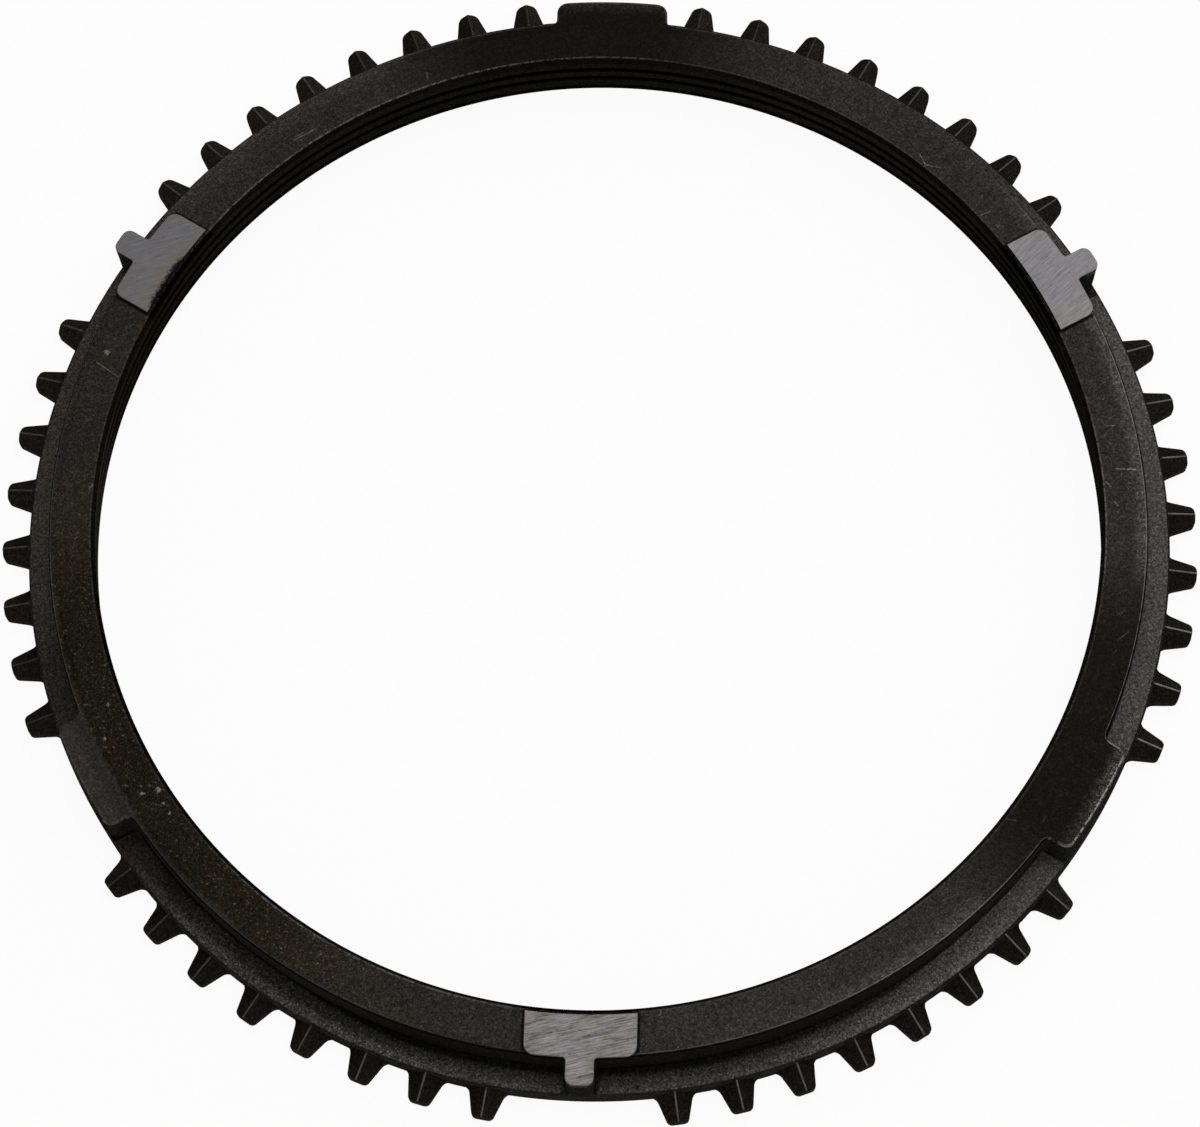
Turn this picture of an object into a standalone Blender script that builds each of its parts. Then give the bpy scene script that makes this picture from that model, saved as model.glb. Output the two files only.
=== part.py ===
"""Synchronizer ring (baulk ring) of a heavy truck gearbox.

One forged and turned steel piece: a thin cone bore with oil grooves, a flat
top face, three lugs and three ground T pads on that face, and a low flange
with six groups of pointed dog teeth round the outside.
"""

import math

import bmesh
import bpy
from mathutils import Matrix, Vector

# Driving sizes, metres and degrees. The ring stands on z = 0, its axis is +Z.
BORE_R = 0.0772           # small end of the cone, just under the top face
CONE_DEG = 6.5            # half angle of the cone, which opens downward
WALL = 0.0071             # small end of the cone to the step wall
SHELF_WIDTH = 0.0039      # step wall to the outside of the lugs
FLANGE_PROUD = 0.00045    # outside of the lugs to the bottom of the tooth gaps
TOOTH_LENGTH = 0.00435    # bottom of the tooth gaps to the tooth tips
HEIGHT = 0.0123           # bottom face to top face
FLANGE_HEIGHT = 0.0047    # bottom face to the shelf
PAD_RISE = 0.0005         # ground T pads above the top face

TOP_CHAMFER_DEPTH = 0.0008
TOP_CHAMFER_SLOPE = 0.72  # outward run for each unit of height
LAND_WIDTH = 0.0016       # outer strip of the top face that falls away
LAND_SLOPE = 0.085        # its fall for each unit outward, and on over the lugs
BOTTOM_CHAMFER = 0.0004
SHELF_LIP = 0.0001        # the chamfer of the shelf edge starts this far above it

GROOVES = 3
GROOVE_FIRST = 0.0037     # top face to the centre of the first groove
GROOVE_LAST = 0.0016      # centre of the last groove to the bottom face
GROOVE_WIDTH = 0.0017
GROOVE_FLOOR = 0.0009
GROOVE_DEPTH = 0.0006

PLACES_PER_THIRD = 20     # equal places for teeth in each third of the circle
PLACES_LEFT_OUT = 2       # of them without a tooth at each pad and at each lug
TOOTH_HALF_ROOT = 0.00264
TOOTH_HALF_TIP = 0.00152
TOOTH_CORNER = 0.0009
TOOTH_FILLET = 0.0010
TOOTH_SEAT = 0.00006      # foot of the tooth outline inside the flange facets
TOOTH_LIFT = 0.0009       # underside of the teeth above the bottom face
RIDGE_DROP = 0.00027      # start of the tooth ridge below the shelf
RIDGE_FALL = 0.17         # drop of the ridge for each unit outward
ROOF_FALL = 0.78          # drop of the two roof faces for each unit sideways

LUG_HALF = 0.0089
LUG_CORNER = 0.0018
LUG_FILLET = 0.0011       # upright fillet between a lug and the step wall
STEP_FOOT = 0.0006        # rounding at the foot of the walls on the shelf

PAD_HALF = 0.0083
PAD_PROUD = 0.00025       # bar of the T beyond the step wall
PAD_CORNER = 0.0017
STEM_HALF = 0.00213
STEM_PROUD = 0.0004       # stem of the T beyond the outside of the lugs
STEM_CORNER = 0.0013
STEM_FILLET = 0.0005

PAD_ANGLES = (270.0, 30.0, 150.0)
LUG_ANGLES = (90.0, 210.0, 330.0)
FACETS_PER_THIRD = 40
SMOOTH_DEG = 30.0         # faces that meet at less than this are shaded as one
WELD = 0.000001

# Sizes that follow from the ones above.
STEP_R = BORE_R + WALL
OUTSIDE_R = STEP_R + SHELF_WIDTH
ROOT_R = OUTSIDE_R + FLANGE_PROUD
TIP_R = ROOT_R + TOOTH_LENGTH
LAND_R = STEP_R - LAND_WIDTH
PAD_R = STEP_R + PAD_PROUD
STEM_R = OUTSIDE_R + STEM_PROUD
CONE_TOP_Z = HEIGHT - TOP_CHAMFER_DEPTH
PAD_Z = HEIGHT + PAD_RISE
LIP_Z = FLANGE_HEIGHT + SHELF_LIP
RIDGE_Z = FLANGE_HEIGHT - RIDGE_DROP
FACETS = 3 * FACETS_PER_THIRD
FACET_DEG = 360.0 / FACETS
TOOTH_DEG = 120.0 / PLACES_PER_THIRD
TEETH_PER_SIDE = PLACES_PER_THIRD // 2 - PLACES_LEFT_OUT
OVER = 0.003              # how far a cutter runs past the metal
BLANK_R = BORE_R - OVER   # hole of the blank before the bore is cut


def cone_r(z):
    """Radius of the cone bore at height z."""
    return BORE_R + (CONE_TOP_Z - z) * math.tan(math.radians(CONE_DEG))


def polar(radius, degrees):
    angle = math.radians(degrees)
    return Vector((radius * math.cos(angle), radius * math.sin(angle)))


def circle_at(radius, sideways):
    """Point on a circle about the axis, given its sideways distance."""
    return Vector((math.sqrt(radius * radius - sideways * sideways), sideways))


def mirrored(points):
    return [Vector((point.x, -point.y)) for point in points]


def arc(centre, radius, start_deg, end_deg, parts):
    steps = range(parts + 1)
    turn = (end_deg - start_deg) / parts
    return [centre + polar(radius, start_deg + turn * step) for step in steps]


def rounded(points, radii, parts):
    """Path through the points, with each corner between them rounded."""
    path = [points[0]]
    for index, radius in enumerate(radii, start=1):
        corner = points[index]
        back = (points[index - 1] - corner).normalized()
        ahead = (points[index + 1] - corner).normalized()
        half = back.angle(ahead) / 2.0
        centre = corner + (back + ahead).normalized() * (radius / math.sin(half))
        start = corner + back * (radius / math.tan(half)) - centre
        start_deg = math.degrees(math.atan2(start.y, start.x))
        turn_deg = 180.0 - 2.0 * math.degrees(half)
        if back.x * ahead.y - back.y * ahead.x > 0.0:
            turn_deg = -turn_deg
        path += arc(centre, radius, start_deg, start_deg + turn_deg, parts)
    path.append(points[-1])
    return path


def clear_scene():
    for item in list(bpy.data.objects):
        bpy.data.objects.remove(item, do_unlink=True)


def new_collection(name):
    found = bpy.data.collections.new(name)
    bpy.context.scene.collection.children.link(found)
    return found


def finish_mesh(shape, name, home):
    """Turn a bmesh into an object in a collection."""
    mesh = bpy.data.meshes.new(name)
    shape.to_mesh(mesh)
    shape.free()
    thing = bpy.data.objects.new(name, mesh)
    home.objects.link(thing)
    return thing


def turned(name, profile, home):
    """Turn a closed (radius, height) profile about +Z.

    It starts half a facet round, so that pads, lugs and teeth have the middle
    of a facet at their own middle.
    """
    shape = bmesh.new()
    ring = [shape.verts.new((*polar(radius, FACET_DEG / 2.0), z)) for radius, z in profile]
    for index, vertex in enumerate(ring):
        shape.edges.new((ring[index - 1], vertex))
    thing = finish_mesh(shape, name, home)
    screw = thing.modifiers.new("turn", "SCREW")
    screw.steps = FACETS
    screw.render_steps = FACETS
    screw.use_merge_vertices = True
    screw.merge_threshold = 0.00001
    return thing


def prism(shape, outline, low, high):
    """Raise a flat outline from one height to another, as a new closed body."""
    corners = [shape.verts.new((point.x, point.y, low)) for point in outline]
    base = shape.faces.new(corners)
    raised = bmesh.ops.extrude_face_region(shape, geom=[base], use_keep_orig=True)
    top = [item for item in raised["geom"] if isinstance(item, bmesh.types.BMVert)]
    bmesh.ops.translate(shape, verts=top, vec=(0.0, 0.0, high - low))
    body = corners + top
    faces = list({face for vertex in body for face in vertex.link_faces})
    bmesh.ops.recalc_face_normals(shape, faces=faces)
    return body


def turn_to(shape, body, degrees):
    spin = Matrix.Rotation(math.radians(degrees), 3, "Z")
    bmesh.ops.rotate(shape, verts=body, cent=(0.0, 0.0, 0.0), matrix=spin)


def combine(target, tool, operation):
    step = target.modifiers.new(tool.name, "BOOLEAN")
    step.operation = operation
    step.solver = "EXACT"
    step.object = tool
    tool.hide_render = True
    tool.display_type = "WIRE"


# The turned blank, with the full outside radius up to the top face.
def build_blank(home):
    profile = [
        (BLANK_R, HEIGHT),
        (LAND_R, HEIGHT),
        (OUTSIDE_R, HEIGHT - (OUTSIDE_R - LAND_R) * LAND_SLOPE),
        (OUTSIDE_R, LIP_Z),
        (ROOT_R, LIP_Z - FLANGE_PROUD),
        (ROOT_R, BOTTOM_CHAMFER),
        (ROOT_R - BOTTOM_CHAMFER, 0.0),
        (BLANK_R, 0.0),
    ]
    return turned("synchronizer_ring", profile, home)


# The step: three long cutters, each clearing the outside from lug to lug.
def build_step_cutter(home):
    far_r = OUTSIDE_R + OVER
    # The lug's outer corner meets the outside a hair beyond its facets.
    corner = circle_at(OUTSIDE_R + 0.00003 - LUG_CORNER, LUG_HALF - LUG_CORNER)
    corner_deg = math.degrees(math.atan2(corner.y, corner.x))
    foot = circle_at(STEP_R + LUG_FILLET, LUG_HALF + LUG_FILLET)
    foot_deg = math.degrees(math.atan2(foot.y, foot.x))
    side = [polar(far_r, corner_deg)]
    side += arc(corner, LUG_CORNER, corner_deg, 90.0, 5)
    side += arc(foot, LUG_FILLET, 270.0, 180.0 + foot_deg, 4)
    # Facet corners of the step wall and of the far edge, between the two lugs.
    first = math.ceil(foot_deg / FACET_DEG + 0.3)
    wall = [polar(STEP_R, step * FACET_DEG) for step in range(first, FACETS_PER_THIRD - first + 1)]
    first = math.ceil(corner_deg / FACET_DEG + 0.3)
    edge = [polar(far_r, step * FACET_DEG) for step in range(first, FACETS_PER_THIRD - first + 1)]
    next_lug = Matrix.Rotation(math.radians(120.0), 2)
    other_side = [next_lug @ point for point in mirrored(side)]
    outline = side + wall + other_side[::-1] + edge[::-1]
    shape = bmesh.new()
    for lug in LUG_ANGLES:
        turn_to(shape, prism(shape, outline, FLANGE_HEIGHT, PAD_Z + OVER), lug)
    foot_edges = []
    for line in shape.edges:
        low = max(vertex.co.z for vertex in line.verts) < FLANGE_HEIGHT + OVER / 2.0
        reach = max(vertex.co.xy.length for vertex in line.verts)
        if low and reach < OUTSIDE_R + OVER / 2.0:
            foot_edges.append(line)
    bmesh.ops.bevel(
        shape,
        geom=foot_edges,
        offset=STEP_FOOT,
        offset_type="OFFSET",
        segments=2,
        profile=0.5,
        affect="EDGES",
        material=-1,
    )
    return finish_mesh(shape, "step_cutter", home)


# The three T pads, from inside the flange up to their ground faces.
def build_pads(home):
    side = rounded(
        [
            circle_at(BORE_R - OVER / 2.0, PAD_HALF),
            circle_at(PAD_R, PAD_HALF),
            circle_at(PAD_R, STEM_HALF),
            circle_at(STEM_R, STEM_HALF),
            Vector((STEM_R, 0.0)),
        ],
        [PAD_CORNER, STEM_FILLET, STEM_CORNER],
        4,
    )
    outline = mirrored(side) + side[-2::-1]
    shape = bmesh.new()
    for pad in PAD_ANGLES:
        turn_to(shape, prism(shape, outline, RIDGE_Z / 2.0, PAD_Z), pad)
    return finish_mesh(shape, "t_pads", home)


# One dog tooth: a pointed plan under two roof faces that meet in a ridge.
def add_tooth(shape, degrees):
    side = rounded(
        [
            polar(ROOT_R - TOOTH_SEAT, TOOTH_DEG / 2.0),
            circle_at(ROOT_R - TOOTH_SEAT, TOOTH_HALF_ROOT),
            Vector((TIP_R, TOOTH_HALF_TIP)),
            Vector((TIP_R, 0.0)),
        ],
        [TOOTH_FILLET, TOOTH_CORNER],
        3,
    )
    side[0] = Vector((ROOT_R - 2.0 * FLANGE_PROUD, side[1].y))
    outline = mirrored(side) + side[-2::-1]
    body = prism(shape, outline, TOOTH_LIFT, FLANGE_HEIGHT + OVER)
    for sense in (1.0, -1.0):
        faces = list({face for vertex in body for face in vertex.link_faces})
        lines = list({line for vertex in body for line in vertex.link_edges})
        cut = bmesh.ops.bisect_plane(
            shape,
            geom=body + lines + faces,
            plane_co=(ROOT_R, 0.0, RIDGE_Z),
            plane_no=(RIDGE_FALL, sense * ROOF_FALL, 1.0),
            clear_outer=True,
            dist=0.000001,
        )
        rim = [item for item in cut["geom_cut"] if isinstance(item, bmesh.types.BMEdge)]
        bmesh.ops.edgenet_fill(shape, edges=rim)
        made = [item for item in cut["geom_cut"] if isinstance(item, bmesh.types.BMVert)]
        body = [vertex for vertex in body if vertex.is_valid and vertex not in made] + made
    turn_to(shape, body, degrees)


def build_teeth(home):
    shape = bmesh.new()
    for pad in PAD_ANGLES:
        for place in range(TEETH_PER_SIDE):
            offset = (place + (PLACES_LEFT_OUT + 1) / 2.0) * TOOTH_DEG
            add_tooth(shape, pad + offset)
            add_tooth(shape, pad - offset)
    bmesh.ops.recalc_face_normals(shape, faces=shape.faces)
    return finish_mesh(shape, "dog_teeth", home)


# The bore tool: the cone with a rib for each oil groove, and both chamfers.
def build_bore_tool(home):
    top = PAD_Z + OVER
    profile = [
        (BORE_R + (top - CONE_TOP_Z) * TOP_CHAMFER_SLOPE, top),
        (BORE_R, CONE_TOP_Z),
    ]
    spacing = (HEIGHT - GROOVE_FIRST - GROOVE_LAST) / (GROOVES - 1)
    for groove in range(GROOVES):
        centre = HEIGHT - GROOVE_FIRST - groove * spacing
        for half, depth in (
            (GROOVE_WIDTH / 2.0, 0.0),
            (GROOVE_FLOOR / 2.0, GROOVE_DEPTH),
            (-GROOVE_FLOOR / 2.0, GROOVE_DEPTH),
            (-GROOVE_WIDTH / 2.0, 0.0),
        ):
            profile.append((cone_r(centre + half) + depth, centre + half))
    low_r = cone_r(BOTTOM_CHAMFER)
    profile += [
        (low_r, BOTTOM_CHAMFER),
        (low_r + BOTTOM_CHAMFER + OVER, -OVER),
        (BLANK_R - OVER, -OVER),
        (BLANK_R - OVER, top),
    ]
    return turned("bore_tool", profile, home)


def blackened_steel():
    look = bpy.data.materials.new("blackened_steel")
    look.use_nodes = True
    shader = look.node_tree.nodes["Principled BSDF"]
    shader.inputs["Base Color"].default_value = (0.030, 0.029, 0.028, 1.0)
    shader.inputs["Metallic"].default_value = 0.85
    shader.inputs["Roughness"].default_value = 0.48
    return look


def settle(thing):
    """Keep the finished mesh, its doubled corners welded, and shade it smooth."""
    graph = bpy.context.evaluated_depsgraph_get()
    finished = bpy.data.meshes.new_from_object(thing.evaluated_get(graph))
    shape = bmesh.new()
    shape.from_mesh(finished)
    bmesh.ops.remove_doubles(shape, verts=shape.verts, dist=WELD)
    shape.to_mesh(finished)
    shape.free()
    thing.modifiers.clear()
    thing.data = finished
    finished.name = thing.name
    finished.shade_smooth()
    finished.set_sharp_from_angle(angle=math.radians(SMOOTH_DEG))


def build():
    clear_scene()
    parts = new_collection("synchronizer_ring")
    cutters = new_collection("cutters")
    ring = build_blank(parts)
    combine(ring, build_step_cutter(cutters), "DIFFERENCE")
    combine(ring, build_pads(cutters), "UNION")
    combine(ring, build_teeth(cutters), "UNION")
    combine(ring, build_bore_tool(cutters), "DIFFERENCE")
    ring.data.materials.append(blackened_steel())
    settle(ring)


build()
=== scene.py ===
"""Looks of the synchronizer ring: a blackened steel ring with ground T pads, seen from above."""

import math
from types import SimpleNamespace

import bmesh
import bpy
from mathutils import Matrix, Vector


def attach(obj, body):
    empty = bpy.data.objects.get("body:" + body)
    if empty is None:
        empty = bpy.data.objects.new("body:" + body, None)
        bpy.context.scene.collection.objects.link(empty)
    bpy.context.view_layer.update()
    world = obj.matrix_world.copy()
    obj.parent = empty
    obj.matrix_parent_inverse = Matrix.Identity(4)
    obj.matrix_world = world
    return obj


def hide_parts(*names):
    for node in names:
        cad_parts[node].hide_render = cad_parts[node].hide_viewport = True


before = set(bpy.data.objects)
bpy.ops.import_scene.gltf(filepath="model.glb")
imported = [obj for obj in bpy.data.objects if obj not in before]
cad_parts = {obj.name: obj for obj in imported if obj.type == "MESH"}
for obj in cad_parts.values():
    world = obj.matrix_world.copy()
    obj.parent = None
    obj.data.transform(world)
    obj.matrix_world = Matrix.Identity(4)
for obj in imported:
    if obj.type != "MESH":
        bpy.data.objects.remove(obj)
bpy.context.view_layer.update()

# The ring as it was forged and turned, before its teeth, step and pads: a steel
# blank whose outside has the full radius of the lugs. The outer strip of the
# top face falls away a little. All sizes are in metres, the CAD part's own.
BORE_R = 0.0772
LAND_R = 0.0827
OUTSIDE_R = 0.0882
ROOT_R = 0.08865
BLANK_BORE_R = 0.0742
UNDERSIDE_R = 0.0800
HEIGHT = 0.0123
SHELF_Z = 0.0047
STRIP_SLOPE = 0.085
STRIP_START = 0.0002
FLANGE_TOP_RISE = 0.0001
FLANGE_TOP_DROP = 0.00035
FLANGE_CHAMFER = 0.0004
BLANK_ROUND = 0.0003
CHAMFER_ROUND = 0.0002
BLANK_ROUND_PARTS = 4
ROUND_STEPS = 360


def land_z(radius):
    """Height of the top face, with its falling outer strip, at a radius."""
    return HEIGHT - max(0.0, radius - LAND_R) * STRIP_SLOPE


def polar(radius, degrees):
    angle = math.radians(degrees)
    return Vector((radius * math.cos(angle), radius * math.sin(angle)))


def arc(centre, radius, start_deg, end_deg, parts):
    turn = (end_deg - start_deg) / parts
    return [centre + polar(radius, start_deg + turn * step) for step in range(parts + 1)]


def rounded(points, radii, parts):
    """Open path through the points; each inner corner gets its own radius."""
    path = [points[0]]
    for index, radius in enumerate(radii, start=1):
        corner = points[index]
        back = (points[index - 1] - corner).normalized()
        ahead = (points[index + 1] - corner).normalized()
        half = back.angle(ahead) / 2.0
        centre = corner + (back + ahead).normalized() * (radius / math.sin(half))
        start = corner + back * (radius / math.tan(half)) - centre
        start_deg = math.degrees(math.atan2(start.y, start.x))
        turn_deg = 180.0 - 2.0 * math.degrees(half)
        if back.x * ahead.y - back.y * ahead.x > 0.0:
            turn_deg = -turn_deg
        path += arc(centre, radius, start_deg, start_deg + turn_deg, parts)
    path.append(points[-1])
    return path


def as_object(shape, name):
    bmesh.ops.recalc_face_normals(shape, faces=shape.faces)
    mesh = bpy.data.meshes.new(name)
    shape.to_mesh(mesh)
    shape.free()
    thing = bpy.data.objects.new(name, mesh)
    bpy.context.scene.collection.objects.link(thing)
    return thing


def turned(name, profile):
    """Spin a closed (radius, height) profile a full turn about +Z."""
    shape = bmesh.new()
    corners = [shape.verts.new((point.x, 0.0, point.y)) for point in profile]
    lines = [shape.edges.new((corners[index - 1], corners[index])) for index in range(len(corners))]
    bmesh.ops.spin(
        shape,
        geom=corners + lines,
        cent=(0.0, 0.0, 0.0),
        axis=(0.0, 0.0, 1.0),
        angle=math.tau,
        steps=ROUND_STEPS,
        use_merge=True,
    )
    return as_object(shape, name)


strip_start_r = LAND_R + STRIP_START
blank_profile = [Vector((BLANK_BORE_R, HEIGHT)), Vector((LAND_R, HEIGHT))]
blank_profile += rounded(
    [
        Vector((strip_start_r, land_z(strip_start_r))),
        Vector((OUTSIDE_R, land_z(OUTSIDE_R))),
        Vector((OUTSIDE_R, SHELF_Z + FLANGE_TOP_RISE)),
        Vector((ROOT_R, SHELF_Z - FLANGE_TOP_DROP)),
        Vector((ROOT_R, FLANGE_CHAMFER)),
        Vector((ROOT_R - FLANGE_CHAMFER, 0.0)),
        Vector((UNDERSIDE_R, 0.0)),
    ],
    [BLANK_ROUND, BLANK_ROUND, BLANK_ROUND, CHAMFER_ROUND, CHAMFER_ROUND],
    BLANK_ROUND_PARTS,
)
blank_profile.append(Vector((BLANK_BORE_R, 0.0)))
ring = turned("ring", blank_profile)

# The step: milled into the blank between the three lugs, down to the shelf of
# the flange. It leaves a rounded foot and a slightly broken top edge. One body
# of it cuts a third of the way round, from one lug to the next.
FAR_LUG, LEFT_LUG, RIGHT_LUG = 90.0, 210.0, 330.0
THIRD_TURN = 120.0
STEP_R = 0.0843
LUG_HALF = 0.0089
LUG_CORNER = 0.0018
LUG_FILLET = 0.0011
CORNER_PROUD = 0.00003
CORNER_PARTS = 8
FILLET_PARTS = 6
WALL_START_DEG = 8
WALL_END_DEG = 112
WALL_SHIFT_DEG = 0.35
STEP_FOOT = 0.0006
STEP_RIM = 0.00038
RIM_PAST = 1.05
RIM_ABOVE = 0.00002
PAD_Z = 0.0128
OVER = 0.003
# The last material is for rims rubbed bare, and for the painted highlight on the step's edge.
STEEL, GROUND, WORN_AND_HIGHLIT = 0, 1, 2


def circle_at(radius, sideways):
    """Point on a circle about the axis, given its sideways distance."""
    return Vector((math.sqrt(radius * radius - sideways * sideways), sideways))


def mirrored(points):
    return [Vector((point.x, -point.y)) for point in points]


def step_outline(grow):
    """Plan of the step cutter of one third; grow leaves that much more metal."""
    far_r = OUTSIDE_R + OVER
    corner = circle_at(OUTSIDE_R + CORNER_PROUD - LUG_CORNER, LUG_HALF - LUG_CORNER)
    corner_deg = math.degrees(math.atan2(corner.y, corner.x))
    foot = circle_at(STEP_R + LUG_FILLET, LUG_HALF + LUG_FILLET)
    foot_deg = math.degrees(math.atan2(foot.y, foot.x))
    side = [polar(far_r, corner_deg)]
    side += arc(corner, LUG_CORNER + grow, corner_deg, 90.0, CORNER_PARTS)
    side += arc(foot, LUG_FILLET - grow, 270.0, 180.0 + foot_deg, FILLET_PARTS)
    wall_steps = range(WALL_START_DEG, WALL_END_DEG)
    wall = [polar(STEP_R + grow, step + WALL_SHIFT_DEG) for step in wall_steps]
    edge = [polar(far_r, step + WALL_SHIFT_DEG) for step in wall_steps[::2]]
    next_lug = Matrix.Rotation(math.radians(THIRD_TURN), 2)
    other_side = [next_lug @ point for point in mirrored(side)]
    return side + wall + other_side[::-1] + edge[::-1]


def quarter_round(radius, degrees):
    """What a quarter round lacks across and up, at an angle of its turn."""
    turn = math.radians(degrees)
    return radius * (1.0 - math.sin(turn)), radius * (1.0 - math.cos(turn))


def at_height(outline, height):
    return [(point.x, point.y, height) for point in outline]


def under_land(outline, depth):
    """The outline laid at a depth under the top face, along its slope."""
    return [(point.x, point.y, land_z(point.length) - depth) for point in outline]


def loft(shape, levels, rims):
    """Closed body through a list of outlines; rims gives a level's own material."""
    rings = [[shape.verts.new(point) for point in level] for level in levels]
    shape.faces.new(rings[0]).material_index = STEEL
    for index, (low, high) in enumerate(zip(rings, rings[1:])):
        for place in range(len(low)):
            quad = (low[place - 1], low[place], high[place], high[place - 1])
            shape.faces.new(quad).material_index = rims.get(index, STEEL)
    shape.faces.new(rings[-1]).material_index = rims.get("cap", STEEL)
    return [vertex for level in rings for vertex in level]


def turn_to(shape, body, degrees):
    spin = Matrix.Rotation(math.radians(degrees), 3, "Z")
    bmesh.ops.rotate(shape, verts=body, cent=(0.0, 0.0, 0.0), matrix=spin)


levels = []
for turn in (0.0, 22.5, 45.0, 67.5, 90.0):
    grow, rise = quarter_round(STEP_FOOT, turn)
    levels.append(at_height(step_outline(grow), SHELF_Z + rise))
first_rim = len(levels)
for turn in (0.0, 25.0, 50.0, 75.0):
    drop, inset = quarter_round(STEP_RIM, turn)
    levels.append(under_land(step_outline(-inset), drop))
mouth = step_outline(-RIM_PAST * STEP_RIM)
levels.append(under_land(mouth, -RIM_ABOVE))
levels.append(at_height(mouth, PAD_Z + OVER))
step_rims = {index: WORN_AND_HIGHLIT for index in range(first_rim, first_rim + 4)}
shape = bmesh.new()
for lug in (FAR_LUG, LEFT_LUG, RIGHT_LUG):
    turn_to(shape, loft(shape, levels, step_rims), lug)
step_cutter = as_object(shape, "step_cutter")

# The three T pads: part of the same forging, standing up from the flange, with
# their tops ground flat and bright and the edges of that face broken by hand.
NEAR_PAD, RIGHT_PAD, LEFT_PAD = 270.0, 30.0, 150.0
PAD_HALF = 0.0083
PAD_OUTER_R = 0.08455
STEM_HALF = 0.00213
STEM_END_R = 0.0886
PAD_CORNER = 0.0017
STEM_FILLET = 0.0005
STEM_CORNER = 0.0013
PAD_CORNER_PARTS = 7
PAD_PAST_BORE = 0.0015
PAD_START_Z = 0.0022
PAD_SUNK = 0.00002
PAD_FOOT = 0.0004
PAD_RIM = 0.00013


def pad_outline(grow, end):
    """Plan of a T pad, grown sideways; the end of its stem has its own growth."""
    side = rounded(
        [
            circle_at(BORE_R - PAD_PAST_BORE, PAD_HALF + grow),
            circle_at(PAD_OUTER_R + grow, PAD_HALF + grow),
            circle_at(PAD_OUTER_R + grow, STEM_HALF + grow),
            circle_at(STEM_END_R + end, STEM_HALF + grow),
            Vector((STEM_END_R + end, 0.0)),
        ],
        [PAD_CORNER + grow, STEM_FILLET - grow, STEM_CORNER + grow],
        PAD_CORNER_PARTS,
    )
    return mirrored(side) + side[-2::-1]


levels = [at_height(pad_outline(PAD_FOOT, 0.0), PAD_START_Z)]
for turn in (0.0, 30.0, 60.0, 90.0):
    grow, rise = quarter_round(PAD_FOOT, turn)
    levels.append(at_height(pad_outline(grow, 0.0), SHELF_Z - PAD_SUNK + rise))
first_rim = len(levels)
for turn in (0.0, 30.0, 60.0, 90.0):
    drop, inset = quarter_round(PAD_RIM, turn)
    levels.append(at_height(pad_outline(-inset, -inset), PAD_Z - drop))
pad_rims = {index: WORN_AND_HIGHLIT for index in range(first_rim, first_rim + 3)}
pad_rims["cap"] = GROUND
shape = bmesh.new()
for pad in (NEAR_PAD, RIGHT_PAD, LEFT_PAD):
    turn_to(shape, loft(shape, levels, pad_rims), pad)
t_pads = as_object(shape, "t_pads")

# The dog teeth: hobbed round the flange and pointed from above by two slanting
# cuts that leave a ridge. Handling has rubbed the ridges bright. Each pad has
# eight on either side, at places six degrees apart.
TIP_R = 0.09298
ROOT_HALF = 0.00282
TIP_HALF = 0.00152
ROOT_FILLET = 0.0014
TIP_CORNER = 0.0009
TOOTH_CORNER_PARTS = 6
ROOT_SUNK = 0.00006
ROOT_AIM_DEG = 3.0
TOOTH_BURIED = 0.0013
TOOTH_LIFT = 0.0009
TOOTH_BLANK_Z = 0.0077
RIDGE_Z = 0.00443
ROOF_FALL_OUT = 0.17
ROOF_FALL_ASIDE = 0.78
TOOTH_EDGE = 0.00017
RIDGE_HALF = 0.00024
EDGE_OUTSIDE_ROOT = 0.0003
EDGE_LOWEST_Z = 0.0015
EDGE_SHARP_DEG = 25.0
TEETH_ON_A_SIDE = 8
FIRST_PLACE = 1.5
PLACE_DEG = 6.0
CUT_TOLERANCE = 0.000001


def one_tooth(shape):
    side = rounded(
        [
            polar(ROOT_R - ROOT_SUNK, ROOT_AIM_DEG),
            circle_at(ROOT_R - ROOT_SUNK, ROOT_HALF),
            Vector((TIP_R, TIP_HALF)),
            Vector((TIP_R, 0.0)),
        ],
        [ROOT_FILLET, TIP_CORNER],
        TOOTH_CORNER_PARTS,
    )
    side[0] = Vector((ROOT_R - TOOTH_BURIED, side[1].y))
    outline = mirrored(side) + side[-2::-1]
    loft(shape, [at_height(outline, height) for height in (TOOTH_LIFT, TOOTH_BLANK_Z)], {})
    for sense in (1.0, -1.0):
        cut = bmesh.ops.bisect_plane(
            shape,
            geom=list(shape.verts) + list(shape.edges) + list(shape.faces),
            plane_co=(ROOT_R, 0.0, RIDGE_Z),
            plane_no=(ROOF_FALL_OUT, sense * ROOF_FALL_ASIDE, 1.0),
            clear_outer=True,
            dist=CUT_TOLERANCE,
        )
        rim = [item for item in cut["geom_cut"] if isinstance(item, bmesh.types.BMEdge)]
        bmesh.ops.edgenet_fill(shape, edges=rim)
    bmesh.ops.recalc_face_normals(shape, faces=shape.faces)


tooth = bmesh.new()
one_tooth(tooth)
top_lines = []
for line in tooth.edges:
    low = min(vertex.co.z for vertex in line.verts)
    outer = max(vertex.co.xy.length for vertex in line.verts) > ROOT_R + EDGE_OUTSIDE_ROOT
    sharp = line.calc_face_angle(0.0) > math.radians(EDGE_SHARP_DEG)
    if outer and sharp and low > EDGE_LOWEST_Z:
        top_lines.append(line)
made = bmesh.ops.bevel(
    tooth,
    geom=top_lines,
    offset=TOOTH_EDGE,
    offset_type="OFFSET",
    segments=2,
    profile=0.5,
    affect="EDGES",
    material=-1,
)
for face in made["faces"]:
    if max(abs(vertex.co.y) for vertex in face.verts) < RIDGE_HALF:
        face.material_index = WORN_AND_HIGHLIT
tooth_mesh = bpy.data.meshes.new("tooth")
tooth.to_mesh(tooth_mesh)
tooth.free()
shape = bmesh.new()
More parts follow.
